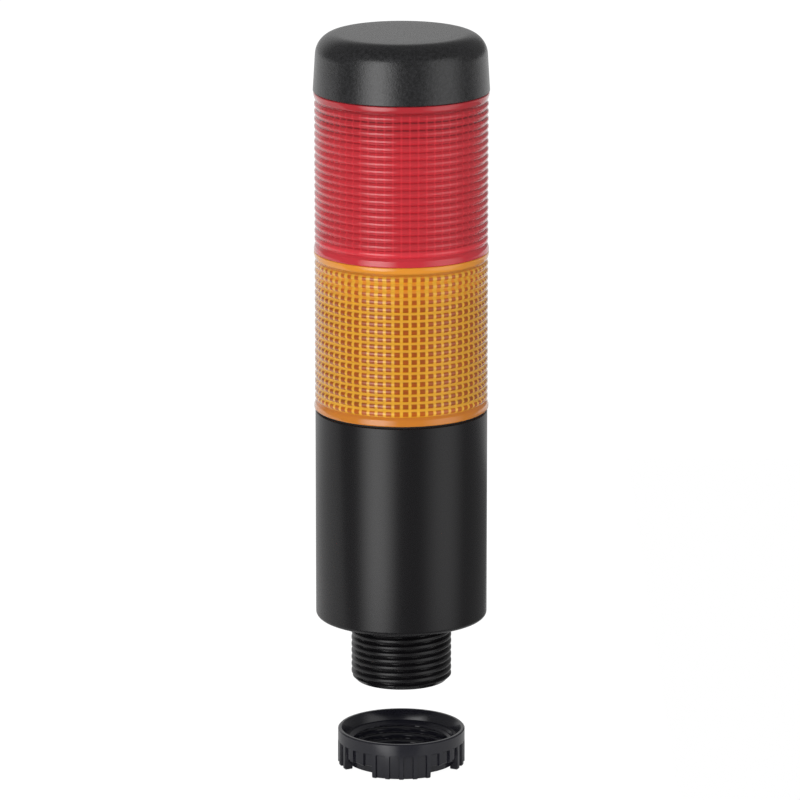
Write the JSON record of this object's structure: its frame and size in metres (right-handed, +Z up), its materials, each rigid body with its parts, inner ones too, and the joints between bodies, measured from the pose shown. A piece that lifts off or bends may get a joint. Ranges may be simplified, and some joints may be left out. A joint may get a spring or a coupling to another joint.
{
  "type": "stack light",
  "caption": "Slim round machine signal tower with ribbed red and amber lenses, rounded cap, plain base, threaded panel spigot and its castellated fixing nut.",
  "frame": {"origin": "centre of the base's underside, which seats on the panel, on the spigot's axis", "axes": "+Z runs up the tower towards the cap, -Z down the spigot towards the nut; -Y is the front, towards which one lug of the nut and the resistors on the upright board face; +X is to the right seen from the front"},
  "size_m": [0.0382, 0.0382, 0.1637],
  "materials": {
    "cap_black": "fine spark-eroded grain, matt",
    "base_black": "satin moulded black",
    "nut_black": "moulded black, slightly glossy",
    "lens_red": "clear moulded red with ring ridges outside and flutes inside",
    "lens_amber": "clear moulded amber with ring ridges outside and flutes inside",
    "seal_rubber": "matt black rubber",
    "white_plastic": "matt white, light-tight",
    "milky_plastic": "milky, lets light through evenly",
    "board_white": "white solder mask",
    "board_green": "green solder mask",
    "led_red": "white chip body with a clear window",
    "led_amber": "white chip body with a yellow window",
    "chip_black": "matt moulding compound",
    "can_aluminium": "plain can",
    "connector_grey": "moulded connector body",
    "terminal_green": "moulded terminal body",
    "contact_brass": "plain",
    "screw_steel": "zinc plated"
  },
  "bodies": {
    "tower": {"cap": "cap_black", "lens_red": "lens_red", "lens_amber": "lens_amber", "base_seal": "seal_rubber", "base_housing": "base_black", "panel_seal": "seal_rubber", "guide_disc_lower": "white_plastic", "guide_disc_middle": "white_plastic", "guide_disc_top": "white_plastic", "diffuser_amber": "milky_plastic", "diffuser_red": "milky_plastic", "led_board": "board_white", "leds_amber": "led_amber", "leds_red": "led_red", "led_resistors": "chip_black", "base_board": "board_green", "board_screws": "screw_steel", "edge_connector": "connector_grey", "capacitors": "can_aluminium", "rectifier": "chip_black", "driver_chip": "chip_black", "terminal_block": "terminal_green", "terminal_contacts": "contact_brass"},
    "nut": {"fixing_nut": "nut_black"}
  },
  "joints": [
    {"name": "nut_travel", "type": "slide", "parent": "tower", "child": "nut", "axis": [0, 0, 1], "range_m": [0, 0.0255]}
  ]
}
